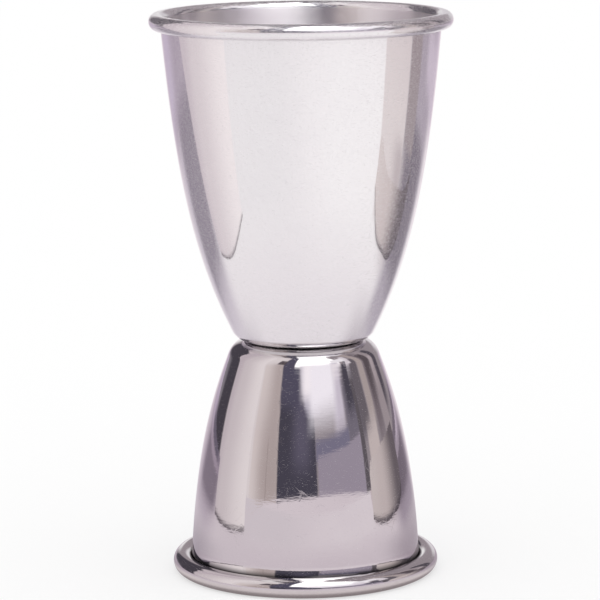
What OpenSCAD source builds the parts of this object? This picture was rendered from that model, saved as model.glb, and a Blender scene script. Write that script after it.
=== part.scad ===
// Double-ended spirit measure: two drawn steel cups of different size,
// welded floor to floor, so that either one can be the foot of the other.
// Each cup is one sheet of even thickness. It runs from the floor round a
// corner, up a curved wall and into a rim that is curled outwards until its
// cut edge closes on the wall.

/* [Overall] */
// Height from one rim to the other
height = 95; // [90:0.5:100]
// Height of the face where the two floors meet, with the small cup down
waist_z = 39.85; // [37:0.05:43]
// Thickness of the steel sheet
sheet_t = 0.9; // [0.7:0.05:1.1]
// Width of the narrow flat on the crest of each rim
land_w = 0.7; // [0.3:0.05:1]
// Gap between a curl's cut edge and the wall that it closes on
curl_gap = 0.1; // [0.05:0.01:0.2]

/* [Large cup] */
// Diameter over the curled rim
large_rim_d = 50.8; // [48:0.1:54]
// Thickness of the curled rim
large_curl_d = 2.76; // [2.5:0.02:3.2]
// Radius at which the inside of the wall eases into the curl
large_flare_r = 4; // [3:0.1:6]
// Angle that the wall eases through before the curl
large_flare_turn = 6; // [3:1:20]
// Lean of the wall from upright, just below the rim
large_rim_lean = 5.1; // [3:0.1:9]
// Diameter of the flat under the floor
large_flat_d = 19.3; // [17:0.1:21]
// Outer radius of the corner between floor and wall
large_corner_r = 2.76; // [2:0.02:4]
// Lean of the wall from upright, where it leaves the corner
large_corner_lean = 26.3; // [20:0.1:32]
// How far the lean at the corner is felt up the wall
large_low_share = 0.274; // [0.2:0.002:0.35]
// How far the lean at the rim is felt down the wall
large_high_share = 0.464; // [0.35:0.002:0.5]

/* [Small cup] */
// Diameter over the curled rim
small_rim_d = 45.1; // [43:0.1:48]
// Thickness of the curled rim
small_curl_d = 3.36; // [2.8:0.02:3.8]
// Radius at which the inside of the wall flares into the curl
small_flare_r = 3.76; // [3:0.02:5]
// Angle that the wall flares through before the curl
small_flare_turn = 45; // [30:1:55]
// Lean of the wall from upright, just before the flare
small_rim_lean = 3.3; // [2:0.1:7]
// Diameter of the flat under the floor
small_flat_d = 18.2; // [16:0.1:20]
// Outer radius of the corner between floor and wall
small_corner_r = 3.94; // [3:0.02:5]
// Lean of the wall from upright, where it leaves the corner
small_corner_lean = 20.6; // [15:0.1:26]
// How far the lean at the corner is felt along the wall
small_low_share = 0.231; // [0.15:0.001:0.32]
// How far the lean at the rim is felt back along the wall
small_high_share = 0.525; // [0.4:0.005:0.6]

/* [Spot welds] */
// Number of welds that join the floors
weld_count = 3; // [2:1:4]
// Diameter of the circle on which the welds lie
weld_circle_d = 9; // [7:0.1:10]
// Diameter of one weld
weld_d = 3.4; // [2.6:0.1:4]
// Depth of a weld in each floor
weld_depth = 0.35; // [0.2:0.05:0.4]
// Diameter of the shallow dimple that the welding tip leaves
dimple_d = 4.6; // [4:0.1:5]
// Depth of that dimple
dimple_depth = 0.12; // [0.05:0.01:0.2]

/* [Hidden] */
$fn = 96;
// Angle between neighbouring points on a bend
bend_step = 7;
// Number of stretches along a wall
wall_steps = 26;
// How far a cut runs past the face that it opens
overrun = 1;
steel = [0.80, 0.78, 0.79];
weld_steel = [0.55, 0.54, 0.56];

// A cup is described with its mouth up and the underside of its floor at
// height zero: [depth, rim radius, curl radius, flare radius, flare turn,
// rim lean, flat radius, corner radius, corner lean, low share, high share].
LARGE = [
    height - waist_z, large_rim_d / 2, large_curl_d / 2, large_flare_r,
    large_flare_turn, large_rim_lean, large_flat_d / 2, large_corner_r,
    large_corner_lean, large_low_share, large_high_share
];
SMALL = [
    waist_z, small_rim_d / 2, small_curl_d / 2, small_flare_r,
    small_flare_turn, small_rim_lean, small_flat_d / 2, small_corner_r,
    small_corner_lean, small_low_share, small_high_share
];

function depth(cup) = cup[0];
function rim_r(cup) = cup[1];
function curl_r(cup) = cup[2];
function flare_r(cup) = cup[3];
function flare_turn(cup) = cup[4];
function flat_r(cup) = cup[6];
function corner_r(cup) = cup[7];
function low_share(cup) = cup[9];
function high_share(cup) = cup[10];

// Headings are angles of travel above the level, going out along the floor,
// up the wall and round the curl.
function corner_heading(cup) = 90 - cup[8];
function rim_heading(cup) = 90 - cup[5];
function curl_heading(cup) = rim_heading(cup) - flare_turn(cup);
function land_angle(cup) = asin(land_w / 2 / curl_r(cup));

function turned(angle) = [cos(angle), sin(angle)];

// The curl and the flare before it are two arcs that touch where the sheet
// passes from one to the other.
function curl_centre(cup) = [
    rim_r(cup) - curl_r(cup),
    depth(cup) - curl_r(cup) * cos(land_angle(cup))
];
function flare_reach(cup) = flare_r(cup) - curl_r(cup);
function flare_centre(cup) =
    curl_centre(cup) - flare_reach(cup) * turned(curl_heading(cup) + 90);

// The curl stops where the outer corner of its cut edge is one gap short of
// the wall. Beside the flare the wall is an arc, and below it nearly straight.
function swing_to_flare(cup) =
    let (clear_r = flare_r(cup) - sheet_t - curl_gap)
    let (a = flare_reach(cup), b = curl_r(cup))
    curl_heading(cup) - 90 - acos((a * a + b * b - clear_r * clear_r) / (2 * a * b));
function swing_to_wall(cup) =
    let (a = flare_reach(cup) * cos(flare_turn(cup)))
    rim_heading(cup) - 90
        - acos((curl_gap + sheet_t - flare_r(cup) + a) / curl_r(cup));
function height_over_wall(cup, swing) =
    flare_reach(cup) * sin(flare_turn(cup))
        + curl_r(cup) * cos(swing - rim_heading(cup));
function end_heading(cup) =
    let (flare_swing = swing_to_flare(cup))
    (height_over_wall(cup, flare_swing) > 0 ? flare_swing : swing_to_wall(cup)) - 90;

// Stations along the middle of the sheet are [radius, height, heading].
// side is -1 for a bend to the left of the heading and 1 to the right.
function bend(centre, r, from, to, side) =
    let (steps = ceil(abs(to - from) / bend_step))
    [
        for (i = [0:steps])
            let (heading = from + (to - from) * i / steps)
            let (at = centre + r * turned(heading + side * 90))
            [at[0], at[1], heading]
    ];

function floor_bend(cup) = bend(
    [flat_r(cup), corner_r(cup)], corner_r(cup) - sheet_t / 2,
    0, corner_heading(cup), -1
);
function flare_bend(cup) = bend(
    flare_centre(cup), flare_r(cup) - sheet_t / 2,
    rim_heading(cup), curl_heading(cup), 1
);
function curl_bend(cup, from, to) =
    bend(curl_centre(cup), curl_r(cup) - sheet_t / 2, from, to, 1);

// The wall is a cubic curve that leaves the corner and meets the flare
// along their own headings.
function wall_curve(cup, start, end) =
    let (span = norm([end[0] - start[0], end[1] - start[1]]))
    let (p0 = [start[0], start[1]])
    let (p3 = [end[0], end[1]])
    let (p1 = p0 + span * low_share(cup) * turned(start[2]))
    let (p2 = p3 - span * high_share(cup) * turned(end[2]))
    [
        for (i = [1:wall_steps - 1])
            let (u = i / wall_steps, v = 1 - u)
            let (at = v*v*v * p0 + 3*v*v*u * p1 + 3*v*u*u * p2 + u*u*u * p3)
            let (way = v*v * (p1 - p0) + 2*v*u * (p2 - p1) + u*u * (p3 - p2))
            [at[0], at[1], atan2(way[1], way[0])]
    ];

function after_first(list) = [for (i = [1:len(list) - 1]) list[i]];
function between_ends(list) = [for (i = [1:len(list) - 2]) list[i]];
function backwards(list) = [for (i = [len(list) - 1:-1:0]) list[i]];

// One face of the sheet: each station moved square to its heading.
function face(stations, offset) = [
    for (s = stations) [s[0] + offset * sin(s[2]), s[1] - offset * cos(s[2])]
];

// Closed outline of the sheet. The narrow flat on the crest is left straight
// on the outside of the curl, and the void inside the curl stays round.
function sheet_outline(cup) =
    let (corner = floor_bend(cup), flare = flare_bend(cup))
    let (wall = wall_curve(cup, corner[len(corner) - 1], flare[0]))
    let (crest = land_angle(cup))
    let (rise = after_first(curl_bend(cup, curl_heading(cup), crest)))
    let (top = between_ends(curl_bend(cup, crest, -crest)))
    let (fall = curl_bend(cup, -crest, end_heading(cup)))
    let (to_curl = concat([[0, sheet_t / 2, 0]], corner, wall, flare, rise))
    concat(
        face(concat(to_curl, top, fall), sheet_t / 2),
        backwards(face(concat(to_curl, fall), -sheet_t / 2))
    );

// Places things on the circle of welds
module at_each_weld() {
    for (i = [0:weld_count - 1])
        rotate([0, 0, 360 * i / weld_count])
            translate([weld_circle_d / 2, 0, 0])
                children();
}

// One drawn cup, mouth up. The welds fill blind recesses in the underside of
// the floor, and the welding tips leave dimples in the floor's upper face.
module drawn_cup(cup) {
    difference() {
        rotate_extrude() polygon(sheet_outline(cup));
        at_each_weld() {
            translate([0, 0, -overrun])
                cylinder(d = weld_d, h = overrun + weld_depth);
            translate([0, 0, sheet_t - dimple_depth])
                cylinder(d = dimple_d, h = overrun + dimple_depth);
        }
    }
}

module large_cup() {
    color(steel)
        translate([0, 0, waist_z])
            drawn_cup(LARGE);
}

module small_cup() {
    color(steel)
        translate([0, 0, waist_z])
            mirror([0, 0, 1])
                drawn_cup(SMALL);
}

module spot_welds() {
    color(weld_steel)
        translate([0, 0, waist_z - weld_depth])
            at_each_weld()
                cylinder(d = weld_d, h = 2 * weld_depth);
}

large_cup();
small_cup();
spot_welds();
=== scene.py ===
import math
import bpy
import numpy as np
from mathutils import Matrix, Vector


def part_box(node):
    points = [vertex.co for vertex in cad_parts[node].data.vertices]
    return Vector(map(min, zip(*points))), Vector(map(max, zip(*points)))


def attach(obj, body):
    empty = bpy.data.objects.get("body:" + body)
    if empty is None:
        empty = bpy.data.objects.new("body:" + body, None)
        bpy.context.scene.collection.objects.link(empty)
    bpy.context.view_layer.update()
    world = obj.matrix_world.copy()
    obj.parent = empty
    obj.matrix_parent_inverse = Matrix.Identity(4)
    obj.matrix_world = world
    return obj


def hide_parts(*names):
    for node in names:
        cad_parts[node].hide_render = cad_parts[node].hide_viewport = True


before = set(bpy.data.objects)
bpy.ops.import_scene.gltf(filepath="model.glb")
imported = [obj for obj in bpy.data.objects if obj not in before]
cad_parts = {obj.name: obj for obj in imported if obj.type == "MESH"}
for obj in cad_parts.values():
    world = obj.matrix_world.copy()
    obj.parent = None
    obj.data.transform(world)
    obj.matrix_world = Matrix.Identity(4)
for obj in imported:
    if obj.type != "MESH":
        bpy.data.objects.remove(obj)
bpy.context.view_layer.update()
print("frame loaded:", ", ".join(sorted(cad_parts)))


# Shader helpers. A value goes on the socket, and a socket is linked to it.

def feed(tree, socket, value):
    if isinstance(value, bpy.types.NodeSocket):
        tree.links.new(value, socket)
    else:
        socket.default_value = value


def addNode(tree, kind, inputs=None, **settings):
    node = tree.nodes.new("ShaderNode" + kind)
    for name, value in settings.items():
        setattr(node, name, value)
    for key, value in (inputs or {}).items():
        feed(tree, node.inputs[key], value)
    return node


def calc(tree, operation, *terms):
    return addNode(tree, "Math", dict(enumerate(terms)), operation=operation).outputs[0]


# 0 below low, 1 above high, with a smooth step between; the other way round if low is above high
def smoothStep(tree, value, low, high):
    inputs = {"Value": value, "From Min": low, "From Max": high}
    return addNode(tree, "MapRange", inputs, interpolation_type="SMOOTHSTEP").outputs[0]


def mixColour(tree, share, first, second):
    inputs = {0: share, 6: first, 7: second}
    return addNode(tree, "Mix", inputs, data_type="RGBA").outputs[2]


def noise(tree, vector, scale, detail=2.0, roughness=0.5):
    inputs = {"Vector": vector, "Scale": scale, "Detail": detail, "Roughness": roughness}
    return addNode(tree, "TexNoise", inputs).outputs[0]


def newGroup(name, inputs, outputs):
    group = bpy.data.node_groups.new(name, "ShaderNodeTree")
    kinds = {"value": "NodeSocketFloat", "colour": "NodeSocketColor", "vector": "NodeSocketVector"}
    for label, kind in inputs.items():
        group.interface.new_socket(name=label, in_out="INPUT", socket_type=kinds[kind])
    for label, kind in outputs.items():
        group.interface.new_socket(name=label, in_out="OUTPUT", socket_type=kinds[kind])
    return group, group.nodes.new("NodeGroupInput").outputs, group.nodes.new("NodeGroupOutput").inputs


def useGroup(tree, group, inputs):
    node = tree.nodes.new("ShaderNodeGroup")
    node.node_tree = group
    for key, value in inputs.items():
        feed(tree, node.inputs[key], value)
    return node.outputs


# A soft-edged patch laid over what is under it. Its mask is the product of four smooth steps,
# one for each edge, each as wide as twice its blur. Slant slides it sideways along its height.
def makeSoftPatch():
    group, given, out = newGroup(
        "softPatch",
        {"Across": "value", "Up": "value", "Left": "value", "Right": "value", "Bottom": "value",
         "Top": "value", "Side Blur": "value", "End Blur": "value", "Slant": "value",
         "Colour": "colour", "Under": "colour"},
        {"Colour": "colour"},
    )
    above = calc(group, "SUBTRACT", given["Up"], given["Bottom"])
    across = calc(group, "SUBTRACT", given["Across"], calc(group, "MULTIPLY", above, given["Slant"]))
    mask = None
    for value, edge, blur, first, second in (
        (across, "Left", "Side Blur", "SUBTRACT", "ADD"),
        (across, "Right", "Side Blur", "ADD", "SUBTRACT"),
        (given["Up"], "Bottom", "End Blur", "SUBTRACT", "ADD"),
        (given["Up"], "Top", "End Blur", "ADD", "SUBTRACT"),
    ):
        step = smoothStep(group, value, calc(group, first, given[edge], given[blur]),
                          calc(group, second, given[edge], given[blur]))
        mask = step if mask is None else calc(group, "MULTIPLY", mask, step)
    feed(group, out["Colour"], mixColour(group, mask, given["Under"], given["Colour"]))
    return group


spunGrain = {
    "detail": 3.0, "roughness": 0.65,
    "bandScale": 0.11, "bandDetail": 2.0, "bandRoughness": 0.6,     # bands are broader than lines
    "veilScale": (50.0, 50.0, 9.0), "veilDetail": 1.0,              # and the veil is finer
}


# Grooves left by turning and buffing on a spinning chuck: noise that is drawn out round the
# axis and fine along the sheet. Lines is their number per metre of sheet. The veil is made of
# much finer and shorter ones.
def makeSpunLines():
    group, given, out = newGroup(
        "spunLines",
        {"Position": "vector", "Along": "value", "Lines": "value", "Drift": "value"},
        {"Height": "value", "Bands": "value", "Veil": "value"},
    )
    split = addNode(group, "SeparateXYZ", {0: given["Position"]}).outputs
    drawn = addNode(group, "CombineXYZ", {
        0: calc(group, "MULTIPLY", split[0], given["Drift"]),
        1: calc(group, "MULTIPLY", split[1], given["Drift"]),
        2: calc(group, "MULTIPLY", given["Along"], given["Lines"]),
    }).outputs[0]
    lines = noise(group, drawn, 1.0, spunGrain["detail"], spunGrain["roughness"])
    bands = noise(group, drawn, spunGrain["bandScale"], spunGrain["bandDetail"],
                  spunGrain["bandRoughness"])
    finer = addNode(group, "VectorMath", {0: drawn, 1: spunGrain["veilScale"]}, operation="MULTIPLY")
    feed(group, out["Height"], lines)
    feed(group, out["Bands"], bands)
    feed(group, out["Veil"], noise(group, finer.outputs[0], 1.0, spunGrain["veilDetail"]))
    return group


handlingTraces = {
    "hazeDetail": 4.0, "hazeRoughness": 0.6, "hazeFrom": 0.42, "hazeTo": 0.78,
    "scratchFineness": 6.0, "scratchDetail": 1.0,     # fineness is counted against the haze's
    # how each set of scratches is turned, and how its noise is squeezed
    "scratchSets": (((0.3, 0.9, 0.4), (1.0, 0.16, 0.5)), ((1.2, 0.2, 1.5), (0.14, 1.0, 0.6))),
    "gapFineness": 3.1, "gapDetail": 2.0, "gapFrom": 0.5, "gapTo": 0.66,
}


# Traces of use: soft haze, and hairline scratches that are the level lines of a stretched
# noise, broken up by another.
def makeHandlingMarks():
    group, given, out = newGroup(
        "handlingMarks",
        {"Position": "vector", "Size": "value", "Width": "value"},
        {"Haze": "value", "Scratches": "value"},
    )
    traces = handlingTraces
    cloud = noise(group, given["Position"], given["Size"], traces["hazeDetail"],
                  traces["hazeRoughness"])
    feed(group, out["Haze"], smoothStep(group, cloud, traces["hazeFrom"], traces["hazeTo"]))
    fine = calc(group, "MULTIPLY", given["Size"], traces["scratchFineness"])
    total = None
    for turn, stretch in traces["scratchSets"]:
        drawn = addNode(group, "Mapping", {"Vector": given["Position"], "Rotation": turn,
                                           "Scale": stretch}).outputs[0]
        level = noise(group, drawn, fine, traces["scratchDetail"])
        away = calc(group, "ABSOLUTE", calc(group, "SUBTRACT", level, 0.5))
        line = smoothStep(group, away, given["Width"], 0.0)
        total = line if total is None else calc(group, "MAXIMUM", total, line)
    gaps = noise(group, given["Position"],
                 calc(group, "MULTIPLY", given["Size"], traces["gapFineness"]), traces["gapDetail"])
    kept = smoothStep(group, gaps, traces["gapFrom"], traces["gapTo"])
    feed(group, out["Scratches"], calc(group, "MULTIPLY", total, kept))
    return group


softPatch = makeSoftPatch()
spunLines = makeSpunLines()
handlingMarks = makeHandlingMarks()
print("shader groups made")


micrometre = 1e-6


# Steel finishes. Heights are in micrometres. The finest spun lines are rough and the steel between
# them is smooth, so a sharp reflection shows through a veil. They lie where a noise between about
# 0.2 and 0.8 is above veilAbove, and on the rim that level is lower by rimDrop.
def steelFinish(name, look):
    material = bpy.data.materials.new(name)
    material.use_nodes = True
    tree = material.node_tree
    tree.nodes.clear()
    position = addNode(tree, "TexCoord").outputs["Object"]
    along = addNode(tree, "Attribute", attribute_name="alongSheet").outputs["Fac"]
    onRim = addNode(tree, "Attribute", attribute_name="onRim").outputs["Fac"]
    lines = useGroup(tree, spunLines, {"Position": position, "Along": along,
                                       "Lines": look["lines"], "Drift": look["drift"]})
    marks = useGroup(tree, handlingMarks, {"Position": position, "Size": look["markSize"],
                                           "Width": look["scratchWidth"]})
    wave = useGroup(tree, spunLines, {"Position": position, "Along": along,
                                      "Lines": look["waves"], "Drift": look["waveDrift"]})
    height = calc(tree, "ADD",
                  calc(tree, "MULTIPLY", lines["Height"], look["lineHeight"]),
                  calc(tree, "MULTIPLY", wave["Height"], look["waveHeight"]))
    height = calc(tree, "SUBTRACT", height,
                  calc(tree, "MULTIPLY", marks["Scratches"], look["scratchDepth"]))
    # the wall eases outwards before the curl: a parabola over the last part of the ramp in onRim
    eased = calc(tree, "MAXIMUM", calc(tree, "SUBTRACT", onRim, look["easeFrom"]), 0.0)
    eased = calc(tree, "MULTIPLY", calc(tree, "MULTIPLY", eased, eased), look["easeHeight"])
    height = calc(tree, "ADD", height, eased)
    bump = addNode(tree, "Bump", {"Height": height, "Distance": micrometre})
    level = calc(tree, "SUBTRACT", look["veilAbove"], calc(tree, "MULTIPLY", onRim, look["rimDrop"]))
    rough = smoothStep(tree, lines["Veil"], calc(tree, "SUBTRACT", level, look["veilBlur"]),
                       calc(tree, "ADD", level, look["veilBlur"]))
    rough = calc(tree, "MULTIPLY", rough, look["lineRoughness"])
    for mask, amount in ((marks["Haze"], "haze"), (lines["Bands"], "bands"),
                         (marks["Scratches"], "scratchRoughness")):
        rough = calc(tree, "ADD", rough, calc(tree, "MULTIPLY", mask, look[amount]))
    rough = calc(tree, "ADD", rough, look["roughness"])
    tint = mixColour(tree, marks["Haze"], look["colour"], look["hazeColour"])
    # painted shade: the seam where the curl's cut edge meets the wall is darkened, as the shade in
    # that crevice
    seam = addNode(tree, "Attribute", attribute_name="seamPaintedShade").outputs["Fac"]
    tint = mixColour(tree, calc(tree, "MULTIPLY", seam, look["seamShade"]), tint, (0, 0, 0, 1))
    steel = addNode(tree, "BsdfPrincipled", {
        "Base Color": tint, "Metallic": 1.0, "Roughness": rough, "Normal": bump.outputs[0],
        "Anisotropic": look["anisotropic"], "Anisotropic Rotation": look["grainTurn"],
    })
    if look["anisotropic"]:
        radial = addNode(tree, "Tangent", direction_type="RADIAL", axis="Z")
        feed(tree, steel.inputs["Tangent"], radial.outputs[0])
    out = addNode(tree, "OutputMaterial")
    feed(tree, out.inputs["Surface"], steel.outputs[0])
    return material


largeCupLook = {
    "colour": (0.81, 0.803, 0.807, 1), "hazeColour": (0.79, 0.783, 0.79, 1),
    "roughness": 0.035, "haze": 0.03, "bands": 0.02, "scratchRoughness": 0.05,
    "lines": 9000.0, "drift": 30.0, "lineHeight": 0.25,
    "veilAbove": 0.60, "veilBlur": 0.01, "rimDrop": 0.07, "lineRoughness": 0.45,
    "waves": 250.0, "waveDrift": 220.0, "waveHeight": 3.0,
    "markSize": 55.0, "scratchWidth": 0.006, "scratchDepth": 0.25,
    "easeFrom": 0.5, "easeHeight": 0.0, "seamShade": 0.9,
    "anisotropic": 0.0, "grainTurn": 0.25,
}
# The small cup is the same steel as the large one, given a darker colour: painted shade, for the
# dimmer light on it.
smallCupLook = {
    **largeCupLook,
    "colour": (0.66, 0.642, 0.645, 1), "hazeColour": (0.64, 0.617, 0.625, 1),
    "roughness": 0.02, "veilAbove": 0.72, "rimDrop": 0.02,
    "lines": 3200.0, "lineHeight": 0.9, "lineRoughness": 0.36,
    "markSize": 70.0, "scratchWidth": 0.007, "scratchDepth": 1.1, "scratchRoughness": 0.2,
    "waves": 700.0, "waveDrift": 200.0, "waveHeight": 6.0,
    "easeFrom": 0.46, "easeHeight": 740.0,
}
# The inside is the same steel, given a lighter colour: painted light, for the brighter inside of the
# cups.
satinLook = {
    "colour": (0.94, 0.92, 0.925, 1), "hazeColour": (0.90, 0.875, 0.88, 1),
    "roughness": 0.27, "haze": 0.04, "bands": 0.08, "scratchRoughness": 0.03,
    "lines": 7000.0, "drift": 45.0, "lineHeight": 1.2,
    "veilAbove": 0.5, "veilBlur": 0.01, "rimDrop": 0.0, "lineRoughness": 0.1,
    "waves": 900.0, "waveDrift": 40.0, "waveHeight": 2.0,
    "markSize": 60.0, "scratchWidth": 0.006, "scratchDepth": 0.5,
    "easeFrom": 0.5, "easeHeight": 0.0, "seamShade": 0.0,
    "anisotropic": 0.92, "grainTurn": 0.25,
}
largeCupSteel = steelFinish("largeCupSteel", largeCupLook)
smallCupSteel = steelFinish("smallCupSteel", smallCupLook)
satinSteel = steelFinish("satinSteel", satinLook)
print("steel finishes made")


# The drawn cups. Each is worked out mouth up, with the underside of its floor at height 0. A
# station is [radius, height, heading] on the middle of the sheet, and a heading is the angle of
# travel above the level, out along the floor, up the wall and round the curl.

sheet = {
    "thickness": 0.0009,
    "landWidth": 0.0007,     # the crest that the rims stand on
    "edgeGap": 0.0001,       # between the curl's cut edge and the wall
    "crestSpread": 30.0,     # degrees either side of the crest that are eased into it
    "crestMargin": 5.0,      # degrees of plain curl that stay between the flare and that easing
    "bendStep": 4.0,         # degrees between stations round a bend
    "wallSteps": 64,
    "floorRings": 34,
    "crestSteps": 8,
    "around": 192,
    "seamTail": 1.6,         # how much longer the painted shade of the seam lasts on the curl than on the wall
    "flatTolerance": 1e-7,
}
largeCupSizes = {
    "node": "large_cup", "mouthUp": True, "steel": largeCupSteel,
    "curlRadius": 0.00138, "flareRadius": 0.004, "flareTurn": 6.0, "rimLean": 5.1,
    "flatRadius": 0.00965, "cornerRadius": 0.00276, "cornerLean": 26.3,
    "lowShare": 0.274, "highShare": 0.464, "seamFade": 0.00012,
}
smallCupSizes = {
    "node": "small_cup", "mouthUp": False, "steel": smallCupSteel,
    "curlRadius": 0.00168, "flareRadius": 0.00376, "flareTurn": 45.0, "rimLean": 3.3,
    "flatRadius": 0.0091, "cornerRadius": 0.00394, "cornerLean": 20.6,
    "lowShare": 0.231, "highShare": 0.525, "seamFade": 0.00014,
}
welds = {
    "count": 3, "circleRadius": 0.0045, "radius": 0.0017, "depth": 0.00035,
    "ease": 0.0004,            # width of the recess's sloping side
    "dimpleRadius": 0.0023, "dimpleDepth": 0.00012,
}


def turned(angle):
    return np.stack([np.cos(np.radians(angle)), np.sin(np.radians(angle))], axis=-1)


# An arc: centre plus radius, square to the heading on its inner side. Side is -1 for a bend to
# the left and 1 to the right.
def bend(centre, radius, start, stop, side):
    heading = np.linspace(start, stop, math.ceil(abs(stop - start) / sheet["bendStep"]) + 1)
    return np.column_stack([centre + radius * turned(heading + side * 90), heading])


# A cubic Bezier curve and its heading. Its handles lie along the headings of its two ends.
def easedCurve(start, stop, lowHandle, highHandle, steps):
    u = np.linspace(0, 1, steps + 1)[1:-1, None]
    v = 1 - u
    p0, p3 = start[:2], stop[:2]
    p1 = p0 + lowHandle * turned(start[2])
    p2 = p3 - highHandle * turned(stop[2])
    at = v**3 * p0 + 3 * v**2 * u * p1 + 3 * v * u**2 * p2 + u**3 * p3
    way = v**2 * (p1 - p0) + 2 * v * u * (p2 - p1) + u**2 * (p3 - p2)
    return np.column_stack([at, np.degrees(np.arctan2(way[:, 1], way[:, 0]))])


# The heading at which the curl stops: its outer corner is then one gap short of the wall, which
# is the flare's arc beside the curl, or nearly straight below it.
def endHeading(cup):
    rimHeading = 90 - cup["rimLean"]
    curlHeading = rimHeading - cup["flareTurn"]
    reach, curl = cup["flareRadius"] - cup["curlRadius"], cup["curlRadius"]
    clear = cup["flareRadius"] - sheet["thickness"] - sheet["edgeGap"]
    cosine = (reach**2 + curl**2 - clear**2) / (2 * reach * curl)
    swing = curlHeading - 90 - math.degrees(math.acos(cosine))
    turn = math.radians(cup["flareTurn"])
    if reach * math.sin(turn) + curl * math.cos(math.radians(swing - rimHeading)) <= 0:
        level = sheet["edgeGap"] + sheet["thickness"] - cup["flareRadius"] + reach * math.cos(turn)
        swing = rimHeading - 90 - math.degrees(math.acos(level / curl))
    return swing - 90


# One face of the sheet: every station moved half a thickness square to its heading
def faceOf(stations, offset):
    heading = np.radians(stations[:, 2])
    return stations[:, :2] + offset * np.column_stack([np.sin(heading), -np.cos(heading)])


# The closed profile, from the middle of the underside out to the curl's cut edge and back along
# the upper face. It also returns the rows where the flare begins, where the upper face begins and
# where that leaves the curl.
def cupProfile(cup, rimRadius, depth):
    half = sheet["thickness"] / 2
    rimHeading = 90 - cup["rimLean"]
    curlHeading = rimHeading - cup["flareTurn"]
    landAngle = math.degrees(math.asin(sheet["landWidth"] / 2 / cup["curlRadius"]))
    curlCentre = np.array([rimRadius - cup["curlRadius"],
                           depth - cup["curlRadius"] * math.cos(math.radians(landAngle))])
    flareCentre = curlCentre - (cup["flareRadius"] - cup["curlRadius"]) * turned(curlHeading + 90)
    floorLine = np.zeros((sheet["floorRings"], 3))
    floorLine[:, 0] = np.linspace(0, cup["flatRadius"], sheet["floorRings"] + 1)[:-1]
    floorLine[:, 1] = half
    corner = bend(np.array([cup["flatRadius"], cup["cornerRadius"]]), cup["cornerRadius"] - half,
                  0, 90 - cup["cornerLean"], -1)
    flare = bend(flareCentre, cup["flareRadius"] - half, rimHeading, curlHeading, 1)
    span = np.linalg.norm(flare[0, :2] - corner[-1, :2])
    wall = easedCurve(corner[-1], flare[0], span * cup["lowShare"], span * cup["highShare"],
                      sheet["wallSteps"])
    toCurl = np.vstack([floorLine, corner, wall, flare])
    stop = endHeading(cup)
    underFace = faceOf(np.vstack([toCurl, bend(curlCentre, cup["curlRadius"] - half,
                                               curlHeading, stop, 1)[1:]]), half)
    # the crest: a curve between two points of the curl, whose middle reaches the full depth
    spread = min(sheet["crestSpread"], curlHeading - sheet["crestMargin"])
    rise = bend(curlCentre, cup["curlRadius"], curlHeading, spread, 1)
    fall = bend(curlCentre, cup["curlRadius"], -spread, stop, 1)
    handle = (depth - rise[-1, 1]) * 4 / (3 * math.sin(math.radians(spread)))
    crest = easedCurve(rise[-1], fall[0], handle, handle, sheet["crestSteps"])
    upperFace = np.vstack([faceOf(toCurl, -half), rise[1:, :2], crest[:, :2], fall[:, :2]])
    profile = np.vstack([underFace, upperFace[::-1]])
    rows = [len(toCurl) - len(flare), len(underFace), len(profile) - len(toCurl)]
    return profile, rows


# Share of a round mark's depth at each point: 1 inside its radius, 0 past the ease beyond it,
# and a smooth step between
def roundMarks(x, y, radius, ease):
    share = np.zeros_like(x)
    for i in range(welds["count"]):
        turn = 2 * math.pi * i / welds["count"]
        away = np.hypot(x - welds["circleRadius"] * math.cos(turn),
                        y - welds["circleRadius"] * math.sin(turn))
        t = np.clip((radius + ease - away) / ease, 0, 1)
        share = np.maximum(share, t * t * (3 - 2 * t))
    return share


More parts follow.
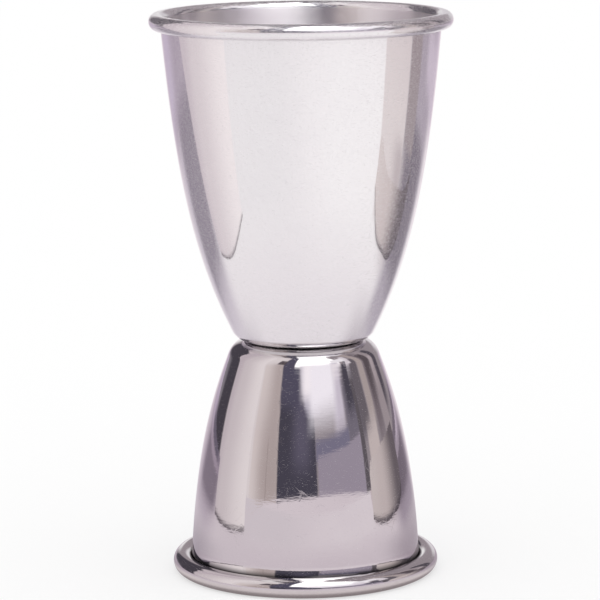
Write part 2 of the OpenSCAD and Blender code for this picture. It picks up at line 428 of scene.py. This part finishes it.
# The profile turned round the axis: x = r cos a, y = r sin a, with one vertex at each pole
def makeCup(name, cup):
    low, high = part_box(cup["node"])
    profile, (flareRow, edgeRow, satinRow) = cupProfile(cup, high.x, high.z - low.z)
    rows, around = len(profile), sheet["around"]
    angle = np.arange(around) * 2 * math.pi / around
    radius, height = profile[1:-1, :1], profile[1:-1, 1:]
    x, y = radius * np.cos(angle), radius * np.sin(angle)
    z = np.repeat(height, around, axis=1)
    underFloor = np.abs(z) < sheet["flatTolerance"]
    upperFloor = np.abs(z - sheet["thickness"]) < sheet["flatTolerance"]
    inFloor = radius < cup["flatRadius"]
    z = z + underFloor * inFloor * welds["depth"] * roundMarks(x, y, welds["radius"], welds["ease"])
    dimple = roundMarks(x, y, welds["dimpleRadius"] / 2, welds["dimpleRadius"] / 2)
    z = z - upperFloor * inFloor * welds["dimpleDepth"] * dimple
    points = np.vstack([
        [[0, 0, profile[0, 1]]],
        np.column_stack([x.ravel(), y.ravel(), z.ravel()]),
        [[0, 0, profile[-1, 1]]],
    ])
    # mouth up on the waist, or turned over about the X axis to hang from it
    if cup["mouthUp"]:
        points[:, 2] += low.z
    else:
        points = points * [1, -1, -1] + [0, 0, high.z]
    ring = 1 + np.arange((rows - 2) * around).reshape(rows - 2, around)
    after = np.roll(ring, -1, axis=1)
    quads = np.stack([ring[:-1], after[:-1], after[1:], ring[1:]], axis=-1).reshape(-1, 4)
    firstFan = np.column_stack([np.zeros(around, int), after[0], ring[0]])
    lastFan = np.column_stack([np.full(around, len(points) - 1), ring[-1], after[-1]])
    mesh = bpy.data.meshes.new(name)
    mesh.from_pydata(points, [], firstFan.tolist() + quads.tolist() + lastFan.tolist())
    # a face's row is that of the profile point where it begins
    faceRow = np.concatenate([np.zeros(around, int), np.repeat(np.arange(1, rows - 2), around),
                              np.full(around, rows - 2)])
    mesh.materials.append(cup["steel"])
    mesh.materials.append(satinSteel)
    mesh.polygons.foreach_set("material_index", (faceRow >= satinRow).astype(np.int32))
    mesh.polygons.foreach_set("use_smooth", np.ones(len(faceRow), bool))
    # both corners of the cut edge are sharp
    pointRow = np.concatenate([[0], np.repeat(np.arange(1, rows - 1), around), [rows - 1]])
    ends = np.empty(len(mesh.edges) * 2, np.int32)
    mesh.edges.foreach_get("vertices", ends)
    ends = pointRow[ends.reshape(-1, 2)]
    sharp = (ends[:, 0] == ends[:, 1]) & ((ends[:, 0] == edgeRow - 1) | (ends[:, 0] == edgeRow))
    mesh.attributes.new("sharp_edge", "BOOLEAN", "EDGE").data.foreach_set("value", sharp)
    # the length of the profile up to each point
    travelled = np.concatenate([[0], np.cumsum(np.linalg.norm(np.diff(profile, axis=0), axis=1))])
    # 1 on the rim, 0 a rim's width before its flare
    rim = np.clip(1 - (travelled[flareRow] - travelled) / (2 * cup["curlRadius"]), 0, 1)
    # painted shade in the crevice at the seam: 1 where the sheet is folded out of sight, fading on
    # both sides of the seam
    before = 1 - (travelled[flareRow] - travelled) / cup["seamFade"]
    beyond = 1 - (travelled - travelled[edgeRow]) / (sheet["seamTail"] * cup["seamFade"])
    seam = np.clip(np.minimum(before, beyond), 0, 1)
    for label, values in (("alongSheet", travelled), ("onRim", rim), ("seamPaintedShade", seam)):
        attribute = mesh.attributes.new(label, "FLOAT", "POINT")
        attribute.data.foreach_set("value", values[pointRow].astype(np.float32))
    mesh.update()
    piece = bpy.data.objects.new(name, mesh)
    bpy.context.scene.collection.objects.link(piece)
    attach(piece, "root")
    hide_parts(cup["node"])
    print(name, "made:", len(points), "points")


makeCup("largeCup", largeCupSizes)
makeCup("smallCup", smallCupSizes)


# The welds between the floors: duller steel with a grain, heat tinted in places
weldLook = {
    "colour": (0.55, 0.54, 0.56, 1), "tint": (0.42, 0.36, 0.34, 1),
    "roughness": 0.4, "grainRoughness": 0.25, "grainHeight": 6.0,
    "grainSize": 2500.0, "grainDetail": 3.0, "grainHardness": 0.6,
    "tintSize": 400.0, "tintFrom": 0.45, "tintTo": 0.7,
}


def dressWelds(look):
    material = bpy.data.materials.new("weldSteel")
    material.use_nodes = True
    tree = material.node_tree
    tree.nodes.clear()
    position = addNode(tree, "TexCoord").outputs["Object"]
    grain = noise(tree, position, look["grainSize"], look["grainDetail"], look["grainHardness"])
    tinted = smoothStep(tree, noise(tree, position, look["tintSize"]), look["tintFrom"],
                        look["tintTo"])
    rough = calc(tree, "ADD", look["roughness"], calc(tree, "MULTIPLY", grain, look["grainRoughness"]))
    height = calc(tree, "MULTIPLY", grain, look["grainHeight"])
    steel = addNode(tree, "BsdfPrincipled", {
        "Base Color": mixColour(tree, tinted, look["colour"], look["tint"]), "Metallic": 1.0,
        "Roughness": rough,
        "Normal": addNode(tree, "Bump", {"Height": height, "Distance": micrometre}).outputs[0],
    })
    feed(tree, addNode(tree, "OutputMaterial").inputs["Surface"], steel.outputs[0])
    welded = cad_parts["spot_welds"]
    welded.data.materials.clear()
    welded.data.materials.append(material)


dressWelds(weldLook)
print("welds dressed")


# The studio, as polished steel sees it: azimuth from left to right and elevation from bottom to
# top, in degrees. Azimuth is 0 at the front and grows to the right. Side and end are the blurs of
# a patch's edges, and each patch is laid over those before it.
studioBase = (0.40, 0.35, 0.38, 1)
studioPatches = {
    "darkBehindLeft": dict(left=-400, right=-150, bottom=46, top=95, side=9, end=9,
                           colour=(0.22, 0.20, 0.23, 1)),
    "darkBehindRight": dict(left=150, right=400, bottom=46, top=95, side=9, end=9,
                            colour=(0.22, 0.20, 0.23, 1)),
    "paperBehindLeft": dict(left=-400, right=-168, bottom=-90, top=11, side=5, end=3,
                            colour=(1, 0.98, 0.99, 1)),
    "paperBehindRight": dict(left=156, right=400, bottom=-90, top=11, side=9, end=3,
                             colour=(0.85, 0.82, 0.85, 1)),
    "overheadGloom": dict(left=-400, right=-22, bottom=77, top=95, side=10, end=2,
                          colour=(0.06, 0.05, 0.07, 1)),
    "leftScreen": dict(left=-150, right=-32, bottom=-6, top=69, side=4, end=2,
                       colour=(0.76, 0.67, 0.71, 1)),
    "leftScreenGlow": dict(left=-84, right=-32, bottom=-6, top=69, side=20, end=2,
                           colour=(0.98, 0.90, 0.91, 1)),
    "leftScreenTop": dict(left=-150, right=-50, bottom=70, top=76, side=5, end=1.5,
                          colour=(1.0, 0.96, 0.97, 1)),
    "leftGloom": dict(left=-160, right=-110.5, bottom=-3, top=38, side=2, end=1.5, slant=-0.25,
                      colour=(0.085, 0.075, 0.095, 1)),
    "leftGloomFoot": dict(left=-166, right=-136, bottom=-6, top=3, side=3, end=3,
                          colour=(0.30, 0.27, 0.31, 1)),
    "beigeCard": dict(left=-62, right=-31, bottom=-3, top=30, side=1, end=9,
                      colour=(0.90, 0.80, 0.79, 1)),
    "beigeCardShade": dict(left=-49, right=-26, bottom=-3, top=40, side=12, end=9,
                           colour=(0.62, 0.53, 0.52, 1)),
    "beigeCardFoot": dict(left=-52, right=-26, bottom=-3, top=13, side=10, end=9,
                          colour=(0.58, 0.49, 0.48, 1)),
    "cardSeam": dict(left=-43.6, right=-42.5, bottom=-3, top=12, side=0.4, end=2,
                     colour=(0.50, 0.42, 0.41, 1)),
    "darkPanel": dict(left=-29.8, right=14, bottom=-3, top=28, side=1, end=3, slant=-0.08,
                      colour=(0.088, 0.081, 0.112, 1)),
    "panelSheen": dict(left=-13, right=6, bottom=8, top=30, side=8, end=4,
                       colour=(0.155, 0.14, 0.20, 1)),
    "bluePanel": dict(left=-33, right=-6, bottom=22, top=84, side=1.5, end=3, slant=-0.04,
                      colour=(0.12, 0.11, 0.165, 1)),
    "darkFlag": dict(left=-46, right=-32, bottom=36, top=54, side=1.5, end=2,
                     colour=(0.14, 0.115, 0.13, 1)),
    "softbox": dict(left=-15, right=62, bottom=31, top=87, side=1.5, end=2,
                    colour=(1.8, 1.78, 1.8, 1)),
    "softboxHigh": dict(left=-5, right=52, bottom=52, top=86, side=6, end=5,
                        colour=(6.0, 5.9, 6.0, 1)),
    "softboxCorner": dict(left=2, right=20, bottom=21, top=33, side=3, end=2, slant=-0.8,
                          colour=(0.68, 0.64, 0.75, 1)),
    "softboxCornerTop": dict(left=-3, right=20, bottom=24.5, top=36, side=7, end=2.5,
                             colour=(1.32, 1.25, 1.31, 1)),
    "softboxRightEdge": dict(left=38, right=53, bottom=14, top=40, side=4, end=5, slant=0.3,
                             colour=(0.84, 0.77, 0.89, 1)),
    "softboxLow": dict(left=6, right=42, bottom=19, top=36, side=5, end=6, slant=0.4,
                       colour=(1.28, 1.23, 1.32, 1)),
    "mottledPanel": dict(left=54, right=84, bottom=9, top=24, side=3, end=3,
                         colour=(0.24, 0.215, 0.27, 1)),
    "mottledPanelDark": dict(left=59, right=72, bottom=16, top=28, side=3, end=3,
                             colour=(0.10, 0.09, 0.12, 1)),
    "softboxFoot": dict(left=44, right=61, bottom=25.5, top=33, side=2.5, end=2,
                        colour=(1.15, 1.08, 1.14, 1)),
    "greyBand": dict(left=13, right=55, bottom=9, top=14, side=1.5, end=1.2,
                     colour=(0.26, 0.24, 0.34, 1)),
    "shelf": dict(left=15, right=70, bottom=-3, top=10.4, side=0.8, end=0.3,
                  colour=(0.44, 0.385, 0.47, 1)),
    "post": dict(left=69.5, right=75, bottom=-3, top=22, side=0.8, end=2,
                 colour=(0.16, 0.14, 0.16, 1)),
    "paleStrip": dict(left=69, right=80, bottom=23, top=54, side=1.2, end=3, slant=0.25,
                      colour=(0.95, 0.88, 0.94, 1)),
    "slantedPole": dict(left=65, right=69, bottom=24.5, top=41, side=0.8, end=1, slant=0.4,
                        colour=(0.30, 0.28, 0.32, 1)),
    "softboxShoulder": dict(left=50, right=77, bottom=37, top=50, side=2.5, end=2.5,
                            colour=(1.2, 1.16, 1.22, 1)),
    "shadeOverCard": dict(left=75, right=88, bottom=9, top=24, side=1.5, end=2,
                          colour=(0.20, 0.175, 0.20, 1)),
    "shadeOverCardTop": dict(left=80, right=89, bottom=22, top=38, side=1.5, end=3, slant=0.15,
                             colour=(0.20, 0.175, 0.20, 1)),
    "tanStripTop": dict(left=89, right=100, bottom=8, top=62, side=1.5, end=3, slant=0.05,
                        colour=(0.56, 0.48, 0.47, 1)),
    "tanStrip": dict(left=79, right=96, bottom=-3, top=9, side=1.5, end=3, slant=0.1,
                     colour=(0.76, 0.66, 0.65, 1)),
    "darkStripe": dict(left=101, right=112, bottom=3, top=50, side=2.5, end=4,
                       colour=(0.26, 0.215, 0.24, 1)),
    "brownStripe": dict(left=113, right=127, bottom=-3, top=44, side=2, end=4,
                        colour=(0.46, 0.395, 0.42, 1)),
    "brownStripeTop": dict(left=118, right=126, bottom=8, top=20, side=2, end=2,
                           colour=(0.58, 0.50, 0.53, 1)),
    "darkStripeCore": dict(left=104, right=117, bottom=9.5, top=39, side=2, end=3.5,
                           colour=(0.14, 0.115, 0.13, 1)),
    "rightGloom": dict(left=127, right=137, bottom=2, top=36, side=2, end=2,
                       colour=(0.12, 0.105, 0.13, 1)),
}
# The same on the floor: distance in millimetres from left to right, and azimuth from bottom to
# top. The paper's colour is multiplied by theirs. Most of them are painted shade and shadows on the
# paper.
floorPatches = {
    # painted shade on the paper round the foot
    "shadeAroundFoot": dict(left=-100, right=95, bottom=-400, top=400, side=75, end=1,
                       colour=(0.90, 0.89, 0.91, 1)),
    # painted shade on the paper to the left of the front, and painted light to the right
    "shadedLeft": dict(left=100, right=9000, bottom=-95, top=-2, side=60, end=28,
                       colour=(0.94, 0.955, 0.955, 1)),
    "litRight": dict(left=100, right=9000, bottom=8, top=95, side=60, end=28,
                          colour=(1.05, 1.07, 1.06, 1)),
    "leftShade": dict(left=60, right=9000, bottom=-158, top=-104, side=30, end=14,
                      colour=(0.68, 0.65, 0.71, 1)),
    "leftShadeMiddle": dict(left=112, right=9000, bottom=-141, top=-103, side=30, end=7,
                            colour=(0.33, 0.305, 0.355, 1)),
    "leftShadeOuter": dict(left=400, right=9000, bottom=-158, top=-104, side=60, end=8,
                           colour=(0.50, 0.46, 0.53, 1)),
    "leftShadeEdge": dict(left=450, right=9000, bottom=-162, top=-138, side=60, end=9,
                          colour=(0.67, 0.63, 0.74, 1)),
    "leftShadeFar": dict(left=700, right=9000, bottom=-139, top=-110, side=120, end=6,
                         colour=(0.21, 0.20, 0.25, 1)),
    "rightShade": dict(left=60, right=9000, bottom=104, top=151, side=30, end=10,
                       colour=(0.50, 0.47, 0.53, 1)),
    "rightShadeMiddle": dict(left=120, right=335, bottom=105, top=144, side=30, end=8,
                             colour=(0.27, 0.25, 0.29, 1)),
    "rightShadeInner": dict(left=130, right=300, bottom=107, top=127, side=20, end=7,
                            colour=(0.25, 0.23, 0.27, 1)),
    "rightShadeEdge": dict(left=460, right=9000, bottom=130, top=162, side=50, end=5,
                           colour=(0.74, 0.70, 0.78, 1)),
    "rightShadeFar": dict(left=700, right=9000, bottom=110, top=150, side=120, end=8,
                          colour=(0.27, 0.25, 0.29, 1)),
    "rightSheet": dict(left=140, right=9000, bottom=73, top=102, side=12, end=0.6,
                       colour=(0.83, 0.79, 0.775, 1)),
    "rightSheetShade": dict(left=110, right=255, bottom=92, top=104, side=25, end=9,
                            colour=(0.55, 0.50, 0.51, 1)),
    "rightStreak": dict(left=262, right=9000, bottom=102.4, top=118, side=14, end=1.2,
                        colour=(0.40, 0.36, 0.37, 1)),
    # painted shadow on the paper close under the rim, darkest right beneath it
    "shadeNearRim": dict(left=-100, right=27, bottom=-400, top=400, side=6, end=1,
                    colour=(0.86, 0.82, 0.81, 1)),
    "shadowUnderRim": dict(left=-100, right=22.9, bottom=-400, top=400, side=0.8, end=1,
                     colour=(0.42, 0.39, 0.39, 1)),
    "leftFootShade": dict(left=-100, right=52, bottom=-210, top=-90, side=26, end=26,
                          colour=(0.52, 0.49, 0.54, 1)),
    "rightFootShade": dict(left=-100, right=62, bottom=82, top=210, side=26, end=20,
                           colour=(0.55, 0.52, 0.56, 1)),
}
# Where the floor meets the studio: highest at one azimuth and falling off with its square
horizon = {"peak": 2.6, "peakAzimuth": 8.0, "fall": 0.00078, "lowest": -0.6, "blur": 0.35}
floorLook = {
    "halfWidth": 3.0, "ownLight": 0.55, "paper": (1, 1, 1, 1), "near": (1.06, 1.01, 1.03, 1),
    # seen at a glancing angle, the paper is darker and more lilac: a painted reflection of the darker
    # room in its sheen
    "glancing": (0.925, 0.83, 0.885, 1), "glancingFrom": 0.70, "glancingTo": 0.90,
    "facingBlend": 0.5,
}
millimetresInMetre = 1000.0


def layPatches(tree, across, up, patches, under):
    for patch in patches.values():
        under = useGroup(tree, softPatch, {
            "Across": across, "Up": up, "Left": patch["left"], "Right": patch["right"],
            "Bottom": patch["bottom"], "Top": patch["top"], "Side Blur": patch["side"],
            "End Blur": patch["end"], "Slant": patch.get("slant", 0.0),
            "Colour": patch["colour"], "Under": under,
        })["Colour"]
    return under


def azimuthOf(tree, x, y):
    return calc(tree, "DEGREES", calc(tree, "ARCTAN2", x, calc(tree, "MULTIPLY", y, -1.0)))


# The world: white for the camera, even light for matt surfaces, and the studio in reflections
def makeStudio():
    world = bpy.data.worlds.new("studio")
    bpy.context.scene.world = world
    world.use_nodes = True
    world.cycles.sampling_method = "NONE"
    tree = world.node_tree
    tree.nodes.clear()
    split = addNode(tree, "SeparateXYZ", {0: addNode(tree, "TexCoord").outputs["Generated"]}).outputs
    azimuth = azimuthOf(tree, split[0], split[1])
    elevation = calc(tree, "DEGREES", calc(tree, "ARCSINE", split[2]))
    room = layPatches(tree, azimuth, elevation, studioPatches, studioBase)
    away = calc(tree, "SUBTRACT", azimuth, horizon["peakAzimuth"])
    drop = calc(tree, "MULTIPLY", calc(tree, "MULTIPLY", away, away), horizon["fall"])
    edge = calc(tree, "MAXIMUM", calc(tree, "SUBTRACT", horizon["peak"], drop), horizon["lowest"])
    above = calc(tree, "SUBTRACT", elevation, edge)
    room = mixColour(tree, smoothStep(tree, above, horizon["blur"], -horizon["blur"]), room,
                     floorLook["glancing"])
    path = addNode(tree, "LightPath").outputs
    plain = calc(tree, "MAXIMUM", path["Is Camera Ray"], path["Is Diffuse Ray"])
    sky = addNode(tree, "Background", {"Color": mixColour(tree, plain, room, (1, 1, 1, 1))})
    feed(tree, addNode(tree, "OutputWorld").inputs["Surface"], sky.outputs[0])


def stageSheet(name, points, faces):
    mesh = bpy.data.meshes.new(name)
    mesh.from_pydata(points, [], faces)
    piece = bpy.data.objects.new(name, mesh)
    bpy.context.scene.collection.objects.link(piece)
    material = bpy.data.materials.new(name)
    material.use_nodes = True
    material.cycles.emission_sampling = "NONE"
    mesh.materials.append(material)
    material.node_tree.nodes.clear()
    return piece, material.node_tree


# A sheet of white paper to stand on. Part of its brightness is its own, so that it stays white
# and the shadow under the rims stays soft.
def makeFloor(look):
    half = look["halfWidth"]
    corners = [(-half, -half, 0), (half, -half, 0), (half, half, 0), (-half, half, 0)]
    tree = stageSheet("floor", corners, [(0, 1, 2, 3)])[1]
    position = addNode(tree, "TexCoord").outputs["Object"]
    split = addNode(tree, "SeparateXYZ", {0: position}).outputs
    distance = addNode(tree, "VectorMath", {0: position}, operation="LENGTH").outputs["Value"]
    distance = calc(tree, "MULTIPLY", distance, millimetresInMetre)
    facing = addNode(tree, "LayerWeight", {"Blend": look["facingBlend"]}).outputs["Facing"]
    glance = smoothStep(tree, facing, look["glancingFrom"], look["glancingTo"])
    seen = mixColour(tree, glance, look["near"], look["glancing"])
    shade = layPatches(tree, distance, azimuthOf(tree, split[0], split[1]), floorPatches,
                       (1, 1, 1, 1))
    seen = addNode(tree, "VectorMath", {0: seen, 1: shade}, operation="MULTIPLY").outputs[0]
    path = addNode(tree, "LightPath").outputs
    reflected = calc(tree, "MAXIMUM", path["Is Glossy Ray"], path["Is Transmission Ray"])
    colour = mixColour(tree, reflected, look["paper"], seen)
    matt = addNode(tree, "BsdfDiffuse", {"Color": colour})
    glow = addNode(tree, "Emission", {"Color": colour})
    both = addNode(tree, "MixShader", {0: look["ownLight"], 1: matt.outputs[0], 2: glow.outputs[0]})
    feed(tree, addNode(tree, "OutputMaterial").inputs["Surface"], both.outputs[0])


# Curved paper cards that stand on the floor on both sides, seen in reflections only. They only glow,
# with painted light and shade. Angles are azimuths in degrees, and the other sizes are in metres.
cards = {
    "leftCard": {
        "inner": -61.0, "outer": -101.0, "flare": -17.6, "flareHeight": 0.088, "flarePower": 2.2,
        "nearest": -85.0, "distance": 0.105, "bow": 0.00005, "power": 2.0, "furthest": 0.150,
        "height": 0.240, "innerHeight": 0.230, "rise": 0.01,
        "foot": 0.0030, "footColour": (0.12, 0.10, 0.12, 1),
        "colours": ((1.06, 0.98, 0.99, 1), (0.82, 0.735, 0.765, 1), (0.70, 0.61, 0.66, 1)),
        "middle": -92.0, "end": -106.0,
    },
    "rightCard": {
        "inner": 71.5, "outer": 119.0, "flare": 0.0, "flareHeight": 0.030, "flarePower": 2.2,
        "nearest": 96.0, "distance": 0.1145, "bow": 1.5e-7, "power": 4.0, "furthest": 0.170,
        "height": 0.030, "innerHeight": 0.024, "rise": 0.0030,
        "foot": 0.0040, "footColour": (0.12, 0.10, 0.12, 1),
        "colours": ((0.80, 0.71, 0.70, 1), (0.74, 0.645, 0.64, 1), (0.19, 0.16, 0.18, 1)),
        "middle": 85.0, "end": 111.0,
    },
}
cardSteps = {"around": 60, "up": 24}


# Azimuth runs from the inner edge to the outer one, which flares out with a power of the height up
# to flareHeight. Distance from the axis is least at one azimuth and grows with a power of the angle
# from it, up to furthest. The top edge rises with azimuth from the inner corner to the full height.
def makeCard(name, card):
    u, v = np.meshgrid(np.linspace(0, 1, cardSteps["around"]), np.linspace(0, 1, cardSteps["up"]))
    swing = (card["outer"] - card["inner"]) * u
    z = v * np.minimum(card["innerHeight"] + card["rise"] * np.abs(swing), card["height"])
    flared = np.minimum(z / card["flareHeight"], 1)**card["flarePower"]
    azimuth = card["inner"] + swing + card["flare"] * u * flared
    away = np.abs(azimuth - card["nearest"])
    distance = card["distance"] + card["bow"] * away**card["power"]
    distance = np.minimum(distance, card["furthest"])
    turn = np.radians(azimuth)
    points = np.stack([distance * np.sin(turn), -distance * np.cos(turn), z], axis=-1)
    index = np.arange(u.size).reshape(u.shape)
    quads = np.stack([index[:-1, :-1], index[:-1, 1:], index[1:, 1:], index[1:, :-1]], axis=-1)
    piece, tree = stageSheet(name, points.reshape(-1, 3), quads.reshape(-1, 4).tolist())
    split = addNode(tree, "SeparateXYZ", {0: addNode(tree, "TexCoord").outputs["Object"]}).outputs
    seen = azimuthOf(tree, split[0], split[1])
    # painted light and shade: brightest at the inner edge and darker towards the outer one
    first, second, third = card["colours"]
    colour = mixColour(tree, smoothStep(tree, seen, card["inner"], card["middle"]), first, second)
    colour = mixColour(tree, smoothStep(tree, seen, card["middle"], card["end"]), colour, third)
    # painted shadow along the foot, where the card meets the floor
    foot = smoothStep(tree, split[2], card["foot"], 0.0)
    colour = mixColour(tree, foot, colour, card["footColour"])
    glow = addNode(tree, "Emission", {"Color": colour})
    feed(tree, addNode(tree, "OutputMaterial").inputs["Surface"], glow.outputs[0])
    piece.visible_camera = False
    piece.visible_diffuse = False
    piece.visible_shadow = False


makeStudio()
makeFloor(floorLook)
for cardName, card in cards.items():
    makeCard(cardName, card)
print("studio, floor and cards made")


# The camera: a long lens in front of the object, a little above it and looking down
view = {
    "position": (0.0, -0.5363, 0.1392), "down": 9.825, "roll": -0.493,
    "lens": 193.24, "sensor": 36.0, "shift": -0.00553,
}


def makeCamera(view):
    lens = bpy.data.cameras.new("camera")
    lens.lens, lens.sensor_width, lens.shift_x = view["lens"], view["sensor"], view["shift"]
    camera = bpy.data.objects.new("camera", lens)
    bpy.context.scene.collection.objects.link(camera)
    camera.matrix_world = (Matrix.Translation(view["position"])
                           @ Matrix.Rotation(math.radians(90 - view["down"]), 4, "X")
                           @ Matrix.Rotation(math.radians(view["roll"]), 4, "Z"))
    bpy.context.scene.camera = camera


makeCamera(view)
bpy.context.scene.view_settings.view_transform = "Standard"
print("camera placed")
